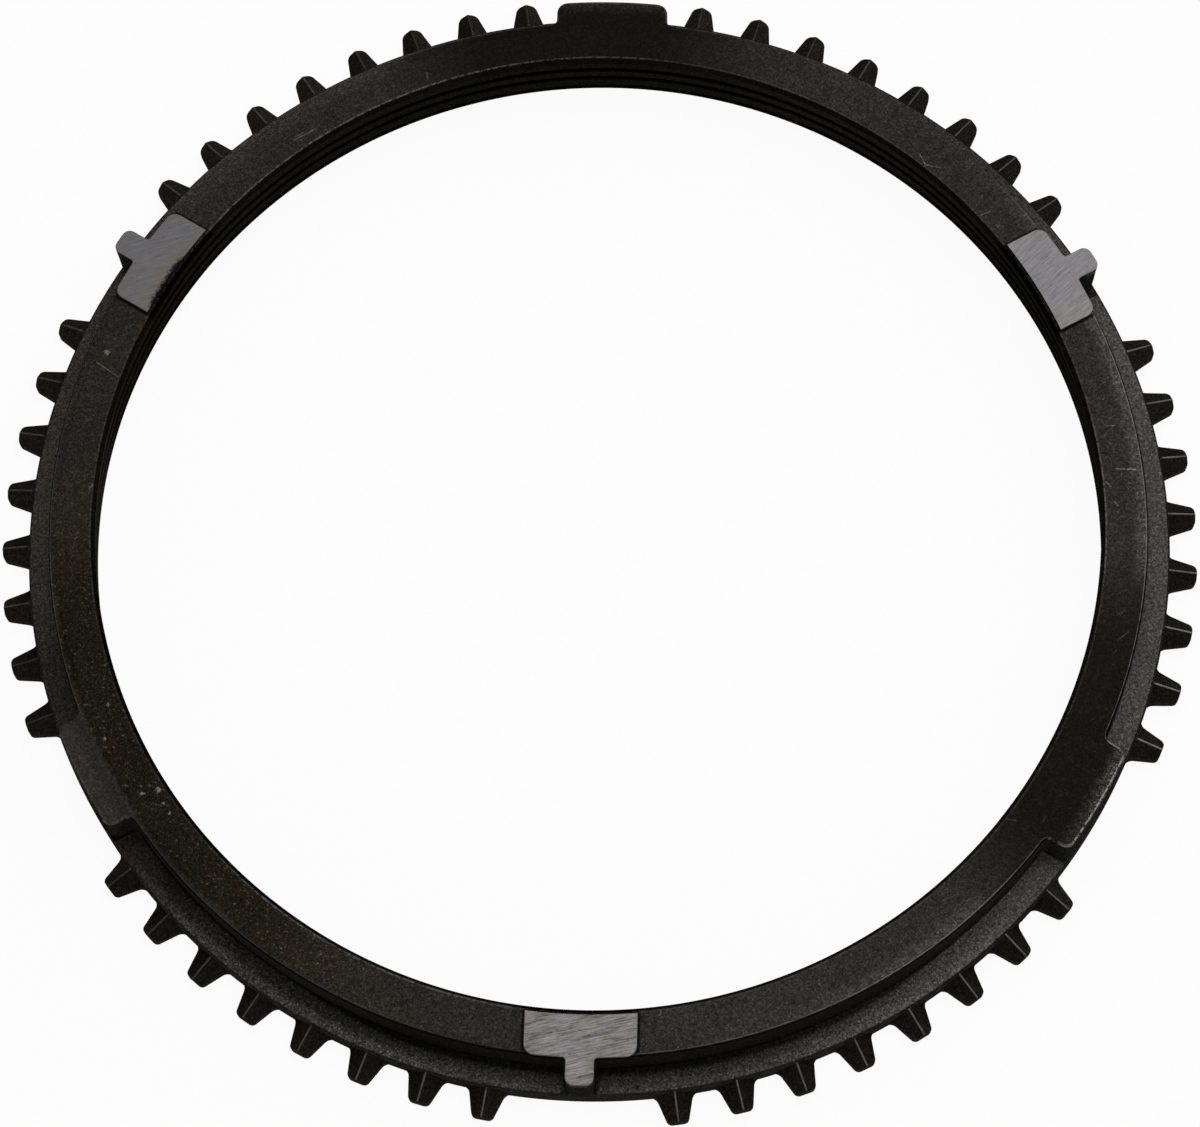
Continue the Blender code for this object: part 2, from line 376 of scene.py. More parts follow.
for pad in (NEAR_PAD, RIGHT_PAD, LEFT_PAD):
    for place in range(TEETH_ON_A_SIDE):
        for sense in (1.0, -1.0):
            known = set(shape.verts)
            shape.from_mesh(tooth_mesh)
            body = [vertex for vertex in shape.verts if vertex not in known]
            turn_to(shape, body, pad + sense * (place + FIRST_PLACE) * PLACE_DEG)
dog_teeth = as_object(shape, "dog_teeth")

# The bore: turned to a cone that opens downward, with three oil grooves and an
# edge chamfer, cut through the ring and its pads in one go.
CONE_SLOPE = math.tan(math.radians(6.5))
CHAMFER_HEIGHT = 0.0008
CHAMFER_SLOPE = 0.72
CHAMFER_EDGE = 0.00025
GROOVES_Z = (0.0086, 0.0051, 0.0016)
GROOVE_HALF = 0.00085
GROOVE_FLOOR_HALF = 0.00045
GROOVE_DEPTH = 0.0006
LAND_EDGE = 0.00010
FLOOR_CORNER = 0.00015
LOWER_CHAMFER = 0.0004
LOWER_EDGE = 0.00008
BORE_PARTS = 3
TOOL_CORE_R = 0.0712


def cone_r(z):
    """Radius of the cone bore at height z."""
    return BORE_R + (HEIGHT - CHAMFER_HEIGHT - z) * CONE_SLOPE


above_bore = PAD_Z + OVER - HEIGHT + CHAMFER_HEIGHT
bore_points = [
    Vector((BORE_R + above_bore * CHAMFER_SLOPE, PAD_Z + OVER)),
    Vector((BORE_R, HEIGHT - CHAMFER_HEIGHT)),
]
bore_radii = [CHAMFER_EDGE]
for centre in GROOVES_Z:
    for half, depth, radius in (
        (GROOVE_HALF, 0.0, LAND_EDGE),
        (GROOVE_FLOOR_HALF, GROOVE_DEPTH, FLOOR_CORNER),
        (-GROOVE_FLOOR_HALF, GROOVE_DEPTH, FLOOR_CORNER),
        (-GROOVE_HALF, 0.0, LAND_EDGE),
    ):
        bore_points.append(Vector((cone_r(centre + half) + depth, centre + half)))
        bore_radii.append(radius)
bore_points += [
    Vector((cone_r(LOWER_CHAMFER), LOWER_CHAMFER)),
    Vector((cone_r(LOWER_CHAMFER) + LOWER_CHAMFER + OVER, -OVER)),
]
bore_radii.append(LOWER_EDGE)
bore_profile = rounded(bore_points, bore_radii, BORE_PARTS)
bore_profile += [Vector((TOOL_CORE_R, -OVER)), Vector((TOOL_CORE_R, PAD_Z + OVER))]
bore_tool = turned("bore_tool", bore_profile)

# The whole ring: blank, step, pads, teeth and bore are one piece of steel, so
# they become one closed mesh, in place of the CAD part's own.
MERGE_DISTANCE = 0.000001
SHARP_DEG = 30.0


def combine(target, tool, operation):
    step = target.modifiers.new(tool.name, "BOOLEAN")
    step.operation = operation
    step.solver = "EXACT"
    step.object = tool


for thing in (ring, step_cutter, t_pads, dog_teeth, bore_tool):
    for name in ("steel", "ground", "worn_and_highlit"):
        found = bpy.data.materials.get(name) or bpy.data.materials.new(name)
        thing.data.materials.append(found)
combine(ring, step_cutter, "DIFFERENCE")
combine(ring, t_pads, "UNION")
combine(ring, dog_teeth, "UNION")
combine(ring, bore_tool, "DIFFERENCE")
graph = bpy.context.evaluated_depsgraph_get()
whole = bpy.data.meshes.new_from_object(ring.evaluated_get(graph))
shape = bmesh.new()
shape.from_mesh(whole)
bmesh.ops.remove_doubles(shape, verts=shape.verts, dist=MERGE_DISTANCE)
shape.to_mesh(whole)
shape.free()
ring.modifiers.clear()
ring.data = whole
for tool in (step_cutter, t_pads, dog_teeth, bore_tool):
    bpy.data.objects.remove(tool, do_unlink=True)
whole.shade_smooth()
whole.set_sharp_from_angle(angle=math.radians(SHARP_DEG))
even = ring.modifiers.new("even_shading", "WEIGHTED_NORMAL")
even.keep_sharp = True
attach(ring, "root")
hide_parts("synchronizer_ring")

# Blackened steel: an oxide finish over a forged and blasted skin. It is darker
# by the lugs, browned by old oil on the left, and scratched on the right.
# Painted shade darkens the bore and its grooves, the teeth, the foot of the
# step and the front of its wall. Painted light and sheen make the right side
# paler, and a painted highlight runs along the step's edge and the bore's lip.
# Lengths are millimetres, directions degrees.
MM = 1000.0
OXIDE = (0.0245, 0.0237, 0.0222, 1.0)
OILED_OXIDE = (0.0250, 0.0232, 0.0176, 1.0)
BROWNED_OXIDE = (0.0250, 0.0205, 0.0125, 1.0)
BROWN_BLOTCH = (0.033, 0.0205, 0.0105, 1.0)
PALE_GRAIN = (0.14, 0.126, 0.094, 1.0)
SCRATCHED = (0.14, 0.135, 0.125, 1.0)
GREY_SPOT = (0.165, 0.158, 0.128, 1.0)
YELLOW_SPOT = (0.165, 0.134, 0.073, 1.0)
BLACK_SPOT = (0.003, 0.003, 0.003, 1.0)
BARE_RIM_AND_LIP_HIGHLIGHT = (0.26, 0.25, 0.24, 1.0)
RUBBED_AND_HIGHLIT_STEEL = (0.24, 0.233, 0.22, 1.0)
OXIDE_TONE = 0.93
OXIDE_TINT = (0.4, 0.4, 0.4, 1.0)
OXIDE_RELIEF = 0.00008
WEAR_AND_HIGHLIGHT = 0.9
SCRATCH_CORE, SCRATCH_EDGE, SCRATCH_END = 0.03, 0.14, 0.15
HAIR_STRETCH = 0.14
# Both ends of each scratch of the top face, as x, y, x, y.
SCRATCHES = (
    (78.1, 15.9, 79.6, 16.0),
    (79.4, 8.9, 82.8, 8.8),
    (77.9, 6.8, 78.7, 5.9),
    (79.1, 3.5, 79.8, 2.7),
    (79.3, -18.7, 81.0, -17.4),
    (62.0, -47.1, 63.8, -47.3),
    (11.5, -78.0, 11.7, -77.1),
    (58.9, 51.1, 60.7, 51.9),
    (-78.9, 23.3, -75.2, 20.8),
    (-50.3, 62.1, -46.6, 64.4),
    (-50.2, 62.7, -48.6, 63.6),
    (49.4, 61.9, 50.5, 59.8),
    (50.5, 59.8, 52.9, 59.3),
    (-29.5, 74.7, -29.3, 73.3),
    (-78.5, 2.1, -77.8, 3.0),
    (67.5, -47.6, 68.1, -46.5),
)
# Spots on the top face, as x, y and radius.
PALE_SPOTS = (
    (-77.4, 25.0, 0.60),
    (-64.3, -45.6, 0.55),
    (-66.7, -46.2, 0.40),
    (-63.3, -47.6, 0.28),
    (-62.3, -49.2, 0.30),
    (-73.0, -37.8, 0.25),
    (-72.8, -32.5, 0.25),
)
DARK_SPOTS = (
    (-17.4, -79.6, 0.35),
    (8.4, -87.1, 0.45),
)
SPOT_RAGGED = 1.2


class Socket:
    """A node's output, on which plain Python arithmetic adds Math nodes."""

    def __init__(self, shader, output):
        self.shader = shader
        self.output = output

    def maths(self, operation, *values):
        sockets = dict(enumerate(values))
        return self.shader.add("ShaderNodeMath", {"operation": operation}, sockets)

    def __add__(self, other):
        return self.maths("ADD", self, other)

    def __radd__(self, other):
        return self.maths("ADD", other, self)

    def __sub__(self, other):
        return self.maths("SUBTRACT", self, other)

    def __rsub__(self, other):
        return self.maths("SUBTRACT", other, self)

    def __mul__(self, other):
        return self.maths("MULTIPLY", self, other)

    def __rmul__(self, other):
        return self.maths("MULTIPLY", other, self)

    def __truediv__(self, other):
        return self.maths("DIVIDE", self, other)

    def __rtruediv__(self, other):
        return self.maths("DIVIDE", other, self)

    def grown(self):
        """e to the power of this: even steps up and down become light and dark."""
        return self.maths("EXPONENT", self)

    def sine(self):
        return self.maths("SINE", self)

    def cosine(self):
        return self.maths("COSINE", self)

    def root(self):
        return self.maths("SQRT", self)

    def least(self, other):
        return self.maths("MINIMUM", self, other)

    def most(self, other):
        return self.maths("MAXIMUM", self, other)

    def absolute(self):
        return self.maths("ABSOLUTE", self)

    def ramp(self, low, high):
        """0 below low and 1 above high, smooth between them; low may be the higher."""
        settings = {"interpolation_type": "SMOOTHSTEP"}
        return self.shader.add("ShaderNodeMapRange", settings, {0: self, 1: low, 2: high})


class Shader:
    """Node tree of one material, with the point on the ring in millimetres."""

    def __init__(self, material):
        material.use_nodes = True
        self.tree = material.node_tree
        self.surface = self.tree.nodes["Principled BSDF"]
        place = self.add("ShaderNodeTexCoord", output="Object")
        self.place = self.scaled(place, MM)
        self.x = self.add("ShaderNodeSeparateXYZ", {}, {0: self.place}, "X")
        self.y = self.add("ShaderNodeSeparateXYZ", {}, {0: self.place}, "Y")
        self.z = self.add("ShaderNodeSeparateXYZ", {}, {0: self.place}, "Z")
        facing = self.add("ShaderNodeTexCoord", output="Normal")
        self.up = self.add("ShaderNodeSeparateXYZ", {}, {0: facing}, "Z")
        self.r = (self.x * self.x + self.y * self.y).root()
        self.angle = self.x.maths("ARCTAN2", self.y, self.x)

    def add(self, kind, settings=None, sockets=None, output=0):
        node = self.tree.nodes.new(kind)
        for name, value in (settings or {}).items():
            setattr(node, name, value)
        for name, value in (sockets or {}).items():
            self.feed(node.inputs[name], value)
        return Socket(self, node.outputs[output])

    def feed(self, target, value):
        if isinstance(value, Socket):
            self.tree.links.new(value.output, target)
        else:
            target.default_value = value

    def dress(self, looks):
        """Give the surface its looks, by the names of its sockets."""
        for name, value in looks.items():
            self.feed(self.surface.inputs[name], value)

    def scaled(self, value, by):
        """A colour or a vector times a number."""
        return self.add("ShaderNodeVectorMath", {"operation": "SCALE"}, {0: value, "Scale": by})

    def mix(self, factor, first, second):
        """Colour mix; the two colours are RGBA tuples or sockets."""
        sockets = {0: factor, 6: first, 7: second}
        return self.add("ShaderNodeMix", {"data_type": "RGBA"}, sockets, 2)

    def noise(self, scale, detail=2.0, roughness=0.5, place=None):
        sockets = {
            "Vector": place or self.place,
            "Scale": scale,
            "Detail": detail,
            "Roughness": roughness,
        }
        return self.add("ShaderNodeTexNoise", {}, sockets)

    def bump(self, relief, strength, depth):
        """Normal of a surface whose relief goes so deep, in metres."""
        sockets = {"Height": relief, "Strength": strength, "Distance": depth}
        return self.add("ShaderNodeBump", {}, sockets)

    def stretched(self, along, across, share):
        """Place of a pattern drawn out into streaks, to 1 / share of its length."""
        return self.add("ShaderNodeCombineXYZ", {}, {0: along * share, 1: across})

    def sideways(self, degrees):
        """Distance from the nearest of three radial lines, one of them at the angle."""
        turned = self.angle - math.radians(degrees)
        folded = turned.maths("WRAP", turned, math.pi / 3.0, -math.pi / 3.0)
        return (self.r * folded.sine()).absolute()

    def toward(self, degrees):
        """Cosine of the angle round the ring from a direction: 1 there, -1 opposite."""
        return (self.angle - math.radians(degrees)).cosine()

    def around(self, degrees, low, high):
        """1 round about a direction, 0 where the cosine from it is under low."""
        return self.toward(degrees).ramp(low, high)


def skin_noise(shader):
    """The uneven skin, from the grain of the blasting up to slow changes round the ring."""
    return SimpleNamespace(
        fine=shader.noise(4.2, 2.0, 0.6),
        grain=shader.noise(2.4, 3.0, 0.7),
        medium=shader.noise(0.9, 2.0),
        broad=shader.noise(0.07, 2.0),
        blotch=shader.noise(0.22, 3.0, 0.6),
    )


def sides(shader):
    """Sides of the ring that share a look, each 1 there and 0 elsewhere."""
    around = shader.around
    return SimpleNamespace(
        right=around(345.0, 0.45, 0.85),
        left=around(205.0, 0.50, 0.95) * (1.0 - 0.45 * around(172.0, 0.96, 0.99)),
        low_left=around(238.0, 0.93, 0.985),
        far_left=around(127.0, 0.90, 0.985),
        near=around(282.0, 0.70, 0.95),
        front=around(275.0, 0.80, 0.95),
    )


def faces(shader, skin):
    """Faces and edges of the ring, each 1 there and 0 elsewhere."""
    r, z, up, around = shader.r, shader.z, shader.up, shader.around
    on = SimpleNamespace()
    on.top = z.ramp(11.0, 11.7)
    on.upright = 1.0 - up.absolute().ramp(0.20, 0.55)
    on.bore = (1.0 - r.ramp(78.6, 78.9)) * (1.0 - z.ramp(11.9, 12.2))
    on.bore = on.bore.most(1.0 - r.ramp(77.70, 77.85))
    on.shelf = (1.0 - z.ramp(4.9, 5.4)) * (1.0 - r.ramp(88.2, 88.45)) * r.ramp(83.8, 84.1)
    on.tooth = r.ramp(88.75, 89.1)
    on.strip = r.ramp(81.4, 84.0) * on.top * (1.0 - r.ramp(84.1, 84.6))
    on.step_edge = r.ramp(83.6, 83.75) * (1.0 - r.ramp(84.5, 84.8)) * on.top
    on.outside = on.upright * (1.0 - on.bore)
    on.step_wall = on.outside * z.ramp(5.0, 5.6) * (1.0 - r.ramp(84.6, 85.0))

    three_lugs = 0.0 - (shader.angle * 3.0 - math.radians(13.5)).sine()
    on.lug = three_lugs.ramp(0.35, 0.90) * on.top
    on.lug = on.lug * (1.0 - around(LEFT_LUG, 0.50, 0.80))
    on.left_lug = around(LEFT_LUG, 0.90, 0.95)
    on.left_lug = on.left_lug * (r + 1.2 * (skin.medium - 0.5)).ramp(83.2, 83.8) * on.top
    on.lug_rim = (r + 2.0 * (skin.medium - 0.5)).ramp(85.4, 88.1) * on.top * (1.0 - on.left_lug)
    on.lug_rim = on.lug_rim * (1.0 - 0.6 * around(322.5, 0.9925, 0.999))

    sunk = r - BORE_R * MM - CONE_SLOPE * ((HEIGHT - CHAMFER_HEIGHT) * MM - z)
    on.groove = (0.6 * up.ramp(0.1, 0.6)).most(sunk.ramp(0.0, 0.15))
    on.groove = on.groove * (1.0 - z.ramp(9.40, 9.55)) * on.bore
    on.chamfer = z.ramp(11.35, 11.60) * (1.0 - on.upright) * (1.0 - 0.9 * on.lug) * on.bore
    return on


def painted_corner_shade(shader, on, side):
    """Painted shade along the foot of the step wall, on the steep part of the step's rounded edge
    and beside the pads.
    """
    r, front = shader.r, side.front
    beside_lug, beside_pad = shader.sideways(FAR_LUG), shader.sideways(RIGHT_PAD)
    from_wall = (r - STEP_R * MM).least(beside_lug - LUG_HALF * MM).least(beside_pad - 1.4)
    behind = (1.05 + 2.6 * shader.toward(95.0)).most(0.0).least(1.8)
    behind = behind * shader.around(5.0, 0.70, 0.85)
    beyond = (from_wall - 0.22 - 1.05 * front - behind) / (0.15 + 0.40 * front)
    painted_shade = on.shelf * (1.0 - beyond.ramp(-1.0, 1.0))
    painted_shade = painted_shade.most(on.step_edge * (1.0 - shader.up.ramp(0.66, 0.84)))
    from_pad = beside_pad - PAD_HALF * MM
    return painted_shade.most(on.top * (1.0 - r.ramp(84.2, 84.3)) * (1.0 - from_pad.ramp(0.25, 0.50)))


def oxide_tone_and_painted_light(shader, skin, on, side):
    """Lightness of the oxide, 1 being its plain colour: its grain, then place by place, with
    painted light and shade.
    """
    r, z, around = shader.r, shader.z, shader.around
    speckle = 2.8 * (skin.fine - 0.5) + 3.2 * (skin.grain - 0.5)
    rough = 1.0 + on.shelf * (0.1 + 0.2 * side.near + 0.4 * side.low_left)
    rough = rough + 0.15 * on.strip * side.right - 0.2 * on.left_lug
    rough = rough - 0.4 * on.lug * (1.0 - on.lug_rim) + (0.4 + 1.2 * side.right) * on.lug_rim
    slow = 0.5 * (skin.medium - 0.5) + 0.5 * (skin.broad - 0.5)
    tone = (speckle * rough + slow).grown() * OXIDE_TONE

    by_left_lug = around(212.0, 0.84, 0.95) * on.top * (1.0 - on.left_lug)
    tone = tone * (1.0 - 0.62 * on.lug) * (1.0 - 0.43 * by_left_lug)
    # Painted sheen: the falling outer strip of the top face paler, most on the right and far left.
    painted_strip_sheen = (1.15 * side.right + 0.6 * side.far_left + 0.15) * on.strip
    tone = tone * (1.0 + painted_strip_sheen * (1.0 - (2.6 * on.lug).least(1.0)))
    left_flank = around(LEFT_LUG, 0.94, 0.975)
    past_lug = 1.0 - around(LEFT_LUG, 0.985, 0.993)
    tone = tone * (1.0 - 0.33 * left_flank * past_lug * on.strip)
    # Painted sheen towards the outer rim of the lugs, strongest on the right.
    tone = tone * (1.0 + (2.1 * side.right + 1.3) * on.lug_rim)
    tone = tone * (1.0 + on.left_lug * (0.15 + 0.60 * r.ramp(84.0, 87.0)))
    by_right_lug = around(RIGHT_LUG, 0.50, 0.80) * on.top
    tone = tone * (1.0 + 0.14 * by_right_lug * (1.0 - on.strip) * (1.0 - on.lug))

    # Painted light and shade on the shelf: paler on the right and far left and towards its outer
    # edge at the front and lower left, darker beside the left lug and along the inner part at the
    # lower left.
    shelf = 0.25 + 1.2 * side.right + 0.3 * side.far_left
    shelf = shelf + 0.22 * around(170.0, 0.93, 0.985) - 0.35 * left_flank
    shelf = shelf + 0.8 * side.near * r.ramp(86.0, 88.0)
    shelf = shelf + side.low_left * (0.9 * r.ramp(86.2, 87.6) - 0.35)
    tone = tone * (1.0 + on.shelf * shelf)

    # Painted shade: the bore darker, its upright walls more, and much darker in its grooves and on
    # its top chamfer.
    bore_wall = on.upright * on.bore
    tone = tone * (1.0 - 0.28 * bore_wall) * (1.0 - 0.10 * on.bore)
    tone = tone * (1.0 - 0.88 * on.groove) * (1.0 - 0.72 * on.chamfer)
    pale_land = 0.9 * around(182.0, 0.965, 0.995) + 0.3 * around(58.0, 0.93, 0.985)
    tone = tone * (1.0 + pale_land * bore_wall)

    tone = tone * (1.0 + 0.55 * on.outside * (1.0 - z.ramp(4.2, 5.2)))
    # Painted shade at the foot of the step, on the step's edge and beside the pads.
    tone = tone * (1.0 - 0.75 * painted_corner_shade(shader, on, side))
    # Painted shade: the step wall darker at the front.
    tone = tone * (1.0 - 0.35 * side.front * on.step_wall)
    # Painted light and shade on the teeth: darker overall and round 105 degrees, lighter on the far
    # side.
    teeth_light_and_shade = 0.12 * around(FAR_LUG, -0.2, 0.6) - 0.24 * around(105.0, 0.93, 0.99)
    return tone * (1.0 + on.tooth * (teeth_light_and_shade - 0.10))


def oxide_colour(shader, skin, on, side):
    """The black oxide, greenish where oil stays and brown with pale grains on the left."""
    r, around = shader.r, shader.around
    further_in = 1.4 * (1.0 - around(226.0, 0.88, 0.97))
    brown = side.left * (1.0 - (r - further_in).ramp(82.6, 84.2)) * (0.45 + skin.broad)
    brown = brown * (1.0 - 0.6 * on.bore * on.upright)
    brown = brown.most(around(152.0, 0.985, 0.997) * (1.0 - r.ramp(78.3, 78.9)))
    oiled = (0.8 * on.lug * (1.0 - 0.7 * on.lug_rim)).most(0.7 * on.tooth).most(0.6 * on.bore)
    oiled = oiled.most(0.5 * on.left_lug).most(0.8 * on.step_wall)
    oiled = oiled.most(0.7 * on.shelf * around(188.0, 0.80, 0.95))
    colour = shader.mix(oiled, OXIDE, OILED_OXIDE)
    colour = shader.mix(brown, colour, BROWNED_OXIDE)
    colour = shader.mix(brown * skin.blotch.ramp(0.50, 0.70) * 0.6, colour, BROWN_BLOTCH)
    specks = shader.noise(1.7, 2.0).ramp(0.60, 0.70) + shader.noise(3.4, 2.0).ramp(0.62, 0.74)
    specks = specks * brown * (0.2 + 0.35 * around(218.0, 0.75, 0.95))
    return shader.mix(specks * on.top, colour, PALE_GRAIN)


def scratch(shader, x0, y0, x1, y1):
    """1 along a thin line between two points of the top face, 0 elsewhere."""
    length = math.hypot(x1 - x0, y1 - y0)
    step_x, step_y = (x1 - x0) / length, (y1 - y0) / length
    along = (shader.x - x0) * step_x + (shader.y - y0) * step_y
    across = ((shader.y - y0) * step_x - (shader.x - x0) * step_y).absolute()
    inside = along.ramp(0.0, SCRATCH_END) * (1.0 - along.ramp(length - SCRATCH_END, length))
    return inside * (1.0 - across.ramp(SCRATCH_CORE, SCRATCH_EDGE))


def streaks(shader, degrees, scale, low, high):
    """Thin broken lines that all lie in one direction of the plan."""
    sine, cosine = math.sin(math.radians(degrees)), math.cos(math.radians(degrees))
    along = shader.x * cosine + shader.y * sine
    across = shader.y * cosine - shader.x * sine
    place = shader.stretched(along, across, HAIR_STRETCH)
    return shader.noise(scale, 2.0, 0.5, place).ramp(low, high)


def handling_marks(shader):
    """The single scratches, and fine hairs and nicks that are thickest on the right."""
    marks = scratch(shader, *SCRATCHES[0])
    for line in SCRATCHES[1:]:
        marks = marks.most(scratch(shader, *line))
    hair = streaks(shader, 35.0, 3.2, 0.64, 0.76) + streaks(shader, -50.0, 2.6, 0.66, 0.78)
    nicks = shader.noise(2.6, 1.0).ramp(0.70, 0.78) * shader.r.ramp(78.0, 84.0)
    return marks * 0.6 + (hair * 0.35 + nicks * 0.4) * shader.around(345.0, -0.3, 0.8)


def spots(shader, places):
    """1 in small round spots given as x, y and radius, 0 elsewhere."""
    total = 0.0
    for x, y, radius in places:
        apart = ((shader.x - x) * (shader.x - x) + (shader.y - y) * (shader.y - y)).root()
        ragged = apart + SPOT_RAGGED * (shader.noise(3.0, 2.0) - 0.5)
        total = (1.0 - ragged.ramp(0.4 * radius, 0.9 * radius)).most(total)
    return total


def bare_rims_and_lip_highlight(shader, on):
    """Bright broken lines: a painted highlight along the lip of the bore, and bare metal on the
    outer rims of the lugs.
    """
    r, around = shader.r, shader.around
    lip = r.ramp(77.70, 77.80) * (1.0 - r.ramp(77.95, 78.10)) * on.top
    far_lip = 0.10 * around(94.0, 0.975, 0.998) + 0.26 * around(124.0, 0.90, 0.97)
    side_lip = 0.20 * around(3.0, 0.98, 0.995) + 0.20 * around(245.0, 0.93, 0.98)
    lip = lip * (0.08 + far_lip + side_lip)
    rim = r.ramp(87.72, 87.86) * (1.0 - r.ramp(88.02, 88.12)) * on.top
    rim = rim * (0.12 + 0.88 * around(329.0, 0.985, 0.996))
    broken = shader.noise(1.3, 3.0, 0.8).ramp(0.40, 0.56)
    return lip.most(1.5 * rim).least(1.0) * broken


def rubbed_and_highlit_edges(shader, on, side):
    """How bare or bright the rim faces are: the pads' edges and the ridges rubbed bare, and the
    step's edge with a painted highlight, rubbed in patches.
    """
    up, around = shader.up, shader.around
    rubbed = shader.noise(0.8, 3.0, 0.7).ramp(0.34, 0.58)
    share = 0.20 + 0.80 * around(335.0, -0.3, 0.8) + 0.3 * around(217.0, 0.985, 0.997)
    # Painted highlight on the upper part of the step's rounded edge, strongest on the right.
    crest_highlight = 0.15 + 0.95 * side.right * (1.0 - 0.45 * on.lug)
    crest_highlight = crest_highlight + 0.25 * around(190.0, 0.92, 0.98) + 0.45 * around(294.0, 0.88, 0.96)
    crest_highlight = crest_highlight + 0.15 * side.low_left
    crest_highlight = crest_highlight * up.ramp(0.74, 0.88) * (1.0 - up.ramp(0.985, 0.998))
    share = share * rubbed * (1.0 - on.step_edge) * (1.0 - on.tooth)
    share = share + on.step_edge * crest_highlight * (0.35 + 0.65 * rubbed)
    share = share.most(0.6 * shader.z.ramp(12.4, 12.6))
    ridge = 0.34 + 0.36 * around(318.0, -0.2, 0.9) + 0.38 * around(342.0, 0.955, 0.99)
    ridge = ridge - 0.24 * around(92.0, 0.84, 0.95) - 0.14 * around(208.0, 0.93, 0.98)
    return share.most(ridge * on.tooth * (0.75 + 0.45 * rubbed))


def blackened(material, wear_and_highlight):
    shader = Shader(material)
    skin = skin_noise(shader)
    side = sides(shader)
    on = faces(shader, skin)
    colour = oxide_colour(shader, skin, on, side)
    colour = shader.mix(handling_marks(shader) * on.top, colour, SCRATCHED)
    colour = shader.scaled(colour, oxide_tone_and_painted_light(shader, skin, on, side))
    pale = shader.mix(shader.y.ramp(-10.0, 10.0), GREY_SPOT, YELLOW_SPOT)
    colour = shader.mix(spots(shader, PALE_SPOTS) * on.top, colour, pale)
    colour = shader.mix(spots(shader, DARK_SPOTS) * 0.9, colour, BLACK_SPOT)
    # Painted highlight on the bore's lip, bare metal on the lugs' rims.
    colour = shader.mix(bare_rims_and_lip_highlight(shader, on), colour, BARE_RIM_AND_LIP_HIGHLIGHT)
    if wear_and_highlight:
        # Rubbed bare edges, and a painted highlight along the step's edge.
        colour = shader.mix(rubbed_and_highlit_edges(shader, on, side) * wear_and_highlight, colour, RUBBED_AND_HIGHLIT_STEEL)
    dull = on.upright.most(on.bore)
    grit = 0.5 * skin.fine + 0.5 * skin.grain
    shader.dress({
        "Base Color": colour,
        "Metallic": 0.9 - 0.9 * dull,
        "Specular IOR Level": 0.0,
        "Specular Tint": OXIDE_TINT,
        "Roughness": 0.40 + 0.18 * skin.medium + 0.35 * dull,
        "Normal": shader.bump(grit, 0.5, OXIDE_RELIEF),
    })


blackened(bpy.data.materials["steel"], 0.0)
blackened(bpy.data.materials["worn_and_highlit"], WEAR_AND_HIGHLIGHT)

# Ground steel of the pad faces: bare, pale, with the streaks of the grinding
# wheel lying slantwise, a darker smudge, and rust on the inner edge of one.
COOL_STEEL = (0.208, 0.2025, 0.213, 1.0)
NEAR_STEEL = (0.220, 0.2035, 0.208, 1.0)
WARM_STEEL = (0.215, 0.202, 0.182, 1.0)
DARK_RUST = (0.0060, 0.0045, 0.0025, 1.0)
LIGHT_RUST = (0.024, 0.017, 0.007, 1.0)
GRIND_DEG = 13.0
GRIND_MORE_RIGHT_DEG = 30.0
GRIND_MORE_LEFT_DEG = 6.0
GRIND_STRETCH = 0.06
SMUDGE_STRETCH = 0.25
GROUND_TONE = 0.93
GROUND_RELIEF = 0.00003


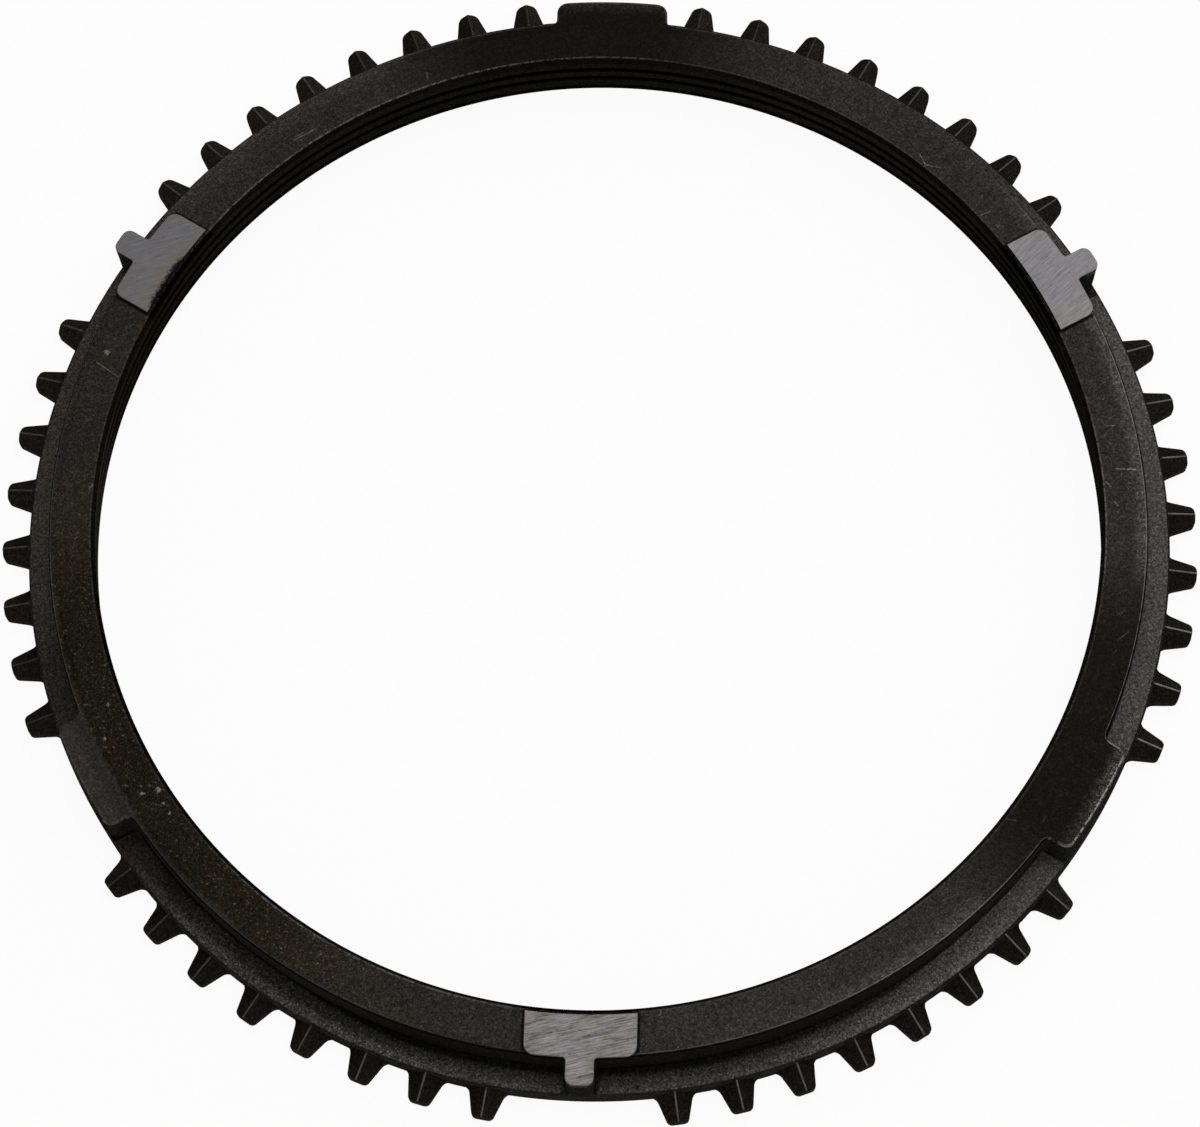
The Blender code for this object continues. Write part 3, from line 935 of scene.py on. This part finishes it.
def ground(material):
    shader = Shader(material)
    near = shader.around(NEAR_PAD, 0.85, 0.90)
    left = shader.around(LEFT_PAD, 0.85, 0.90)
    right = shader.around(RIGHT_PAD, 0.85, 0.90)
    turn = math.radians(GRIND_DEG) + math.radians(GRIND_MORE_RIGHT_DEG) * right
    turn = turn + math.radians(GRIND_MORE_LEFT_DEG) * left
    sine, cosine = turn.sine(), turn.cosine()
    along = shader.x * cosine + shader.y * sine
    across = shader.y * cosine - shader.x * sine
    place = shader.stretched(along, across, GRIND_STRETCH)
    coarse = shader.noise(2.6, 3.0, 0.75, place)
    threads = shader.noise(5.5, 2.0, 0.6, place)
    scores = shader.noise(1.3, 4.0, 0.8, place).ramp(0.60, 0.72)
    cloud = shader.noise(0.35, 3.0, 0.6)
    grain = shader.noise(2.4, 3.0, 0.7)
    smudge = shader.noise(0.7, 3.0, 0.7, shader.stretched(along, across, SMUDGE_STRETCH))
    smudge = smudge.ramp(0.50, 0.66)
    pits = shader.noise(1.9, 2.0).ramp(0.68, 0.74)
    tone = 0.6 * (coarse - 0.5) + 1.3 * (threads - 0.5) + 0.4 * (grain - 0.5) - 0.20 * scores
    tone = GROUND_TONE + tone * (0.90 + 0.80 * near - 0.25 * left)
    tone = tone - smudge * (0.06 + 0.30 * near) - 0.35 * pits
    # Painted shade: the left pad darker.
    tone = tone * (1.0 - 0.26 * left)

    patch = left * (1.0 - shader.y.ramp(39.4, 42.0)) * shader.y.ramp(31.6, 35.4)
    ragged = 0.5 * (cloud - 0.5) + 1.5 * (grain - 0.5) + 0.9 * (threads - 0.5)
    inward = shader.r + ragged - 0.45 * patch
    halo = left * (1.0 - (inward - patch).ramp(78.0, 80.5))
    warm = cloud.ramp(0.40, 0.65) * (0.4 + 0.6 * near)
    warm = warm + 0.45 * right * (1.0 - shader.y.ramp(34.0, 38.0))
    colour = shader.mix(0.8 * near, COOL_STEEL, NEAR_STEEL)
    colour = shader.mix(warm.most(halo), colour, WARM_STEEL)
    colour = shader.scaled(colour, tone)
    rust = (1.0 - inward.ramp(77.80, 78.55)) * patch.ramp(0.0, 0.3)
    crust = shader.mix(shader.noise(2.0, 2.0).ramp(0.54, 0.68), DARK_RUST, LIGHT_RUST)
    shader.dress({
        "Base Color": shader.mix(rust, colour, crust),
        "Metallic": 1.0 - rust,
        "Specular IOR Level": 0.1,
        "Roughness": 0.42 + 0.1 * cloud + 0.3 * rust,
        "Normal": shader.bump(0.6 * coarse + 0.4 * threads, 0.3, GROUND_RELIEF),
    })


ground(bpy.data.materials["ground"])

# The bench: a plain white board that the ring lies on. Seen straight or in the
# steel it glows a plain white, and for all other light it is dull paper.
BOARD_HALF = 2.0
PAPER_WHITE = (0.9, 0.9, 0.9, 1.0)
PAPER_ROUGHNESS = 0.9
WHITE = (1.0, 1.0, 1.0, 1.0)
GLOW_SHARE = 0.94
board_mesh = bpy.data.meshes.new("board")
board = bpy.data.objects.new("board", board_mesh)
bpy.context.scene.collection.objects.link(board)
shape = bmesh.new()
bmesh.ops.create_grid(shape, x_segments=1, y_segments=1, size=BOARD_HALF)
shape.to_mesh(board_mesh)
shape.free()
paper = bpy.data.materials.new("paper")
board_shader = Shader(paper)
board_shader.dress({"Base Color": PAPER_WHITE, "Roughness": PAPER_ROUGHNESS})
seen = board_shader.add("ShaderNodeLightPath", {}, {}, "Is Camera Ray")
seen_in_steel = board_shader.add("ShaderNodeLightPath", {}, {}, "Is Glossy Ray")
glow = board_shader.add("ShaderNodeEmission", {}, {"Color": WHITE, "Strength": 1.0})
dull_paper = Socket(board_shader, board_shader.surface.outputs[0])
board_look = board_shader.add(
    "ShaderNodeMixShader",
    {},
    {0: GLOW_SHARE * seen.most(seen_in_steel), 1: dull_paper, 2: glow},
)
board_output = board_shader.tree.nodes["Material Output"]
board_shader.feed(board_output.inputs["Surface"], board_look)
board_mesh.materials.append(paper)

# Light: one large soft box above and a little to the far right, a weak window
# on the far right, and a dim even room round it.
ROOM_LIGHT = 0.28


def soft_box(name, place, size, power):
    """Square lamp in watts, aimed at the middle of the ring."""
    lamp = bpy.data.lights.new(name, "AREA")
    lamp.shape = "SQUARE"
    lamp.size = size
    lamp.energy = power
    thing = bpy.data.objects.new(name, lamp)
    bpy.context.scene.collection.objects.link(thing)
    thing.location = place
    thing.rotation_euler = (-Vector(place)).to_track_quat("-Z", "Y").to_euler()


soft_box("key", (0.25, 0.30, 1.10), size=1.4, power=8.0)
soft_box("window", (0.70, 1.10, 0.45), size=0.8, power=2.2)
world = bpy.data.worlds.new("room")
world.use_nodes = True
world.node_tree.nodes["Background"].inputs["Color"].default_value = WHITE
world.node_tree.nodes["Background"].inputs["Strength"].default_value = ROOM_LIGHT
bpy.context.scene.world = world

# The camera of the photograph: half a metre off, tilted 19 degrees from straight
# down, turned a little round the ring and rolled a little.
CAMERA_PLACE = (0.015337, -0.181373, 0.510190)
CAMERA_TURN_DEG = 4.819
CAMERA_TILT_DEG = 19.232
CAMERA_ROLL_DEG = -3.355
LENS_MM = 103.674
SENSOR_MM = 36.0
camera_data = bpy.data.cameras.new("camera")
camera_data.sensor_width = SENSOR_MM
camera_data.lens = LENS_MM
camera = bpy.data.objects.new("camera", camera_data)
bpy.context.scene.collection.objects.link(camera)
camera.matrix_world = (
    Matrix.Translation(CAMERA_PLACE)
    @ Matrix.Rotation(math.radians(CAMERA_TURN_DEG), 4, "Z")
    @ Matrix.Rotation(math.radians(CAMERA_TILT_DEG), 4, "X")
    @ Matrix.Rotation(math.radians(CAMERA_ROLL_DEG), 4, "Z")
)
bpy.context.scene.camera = camera
bpy.context.scene.view_settings.view_transform = "Standard"
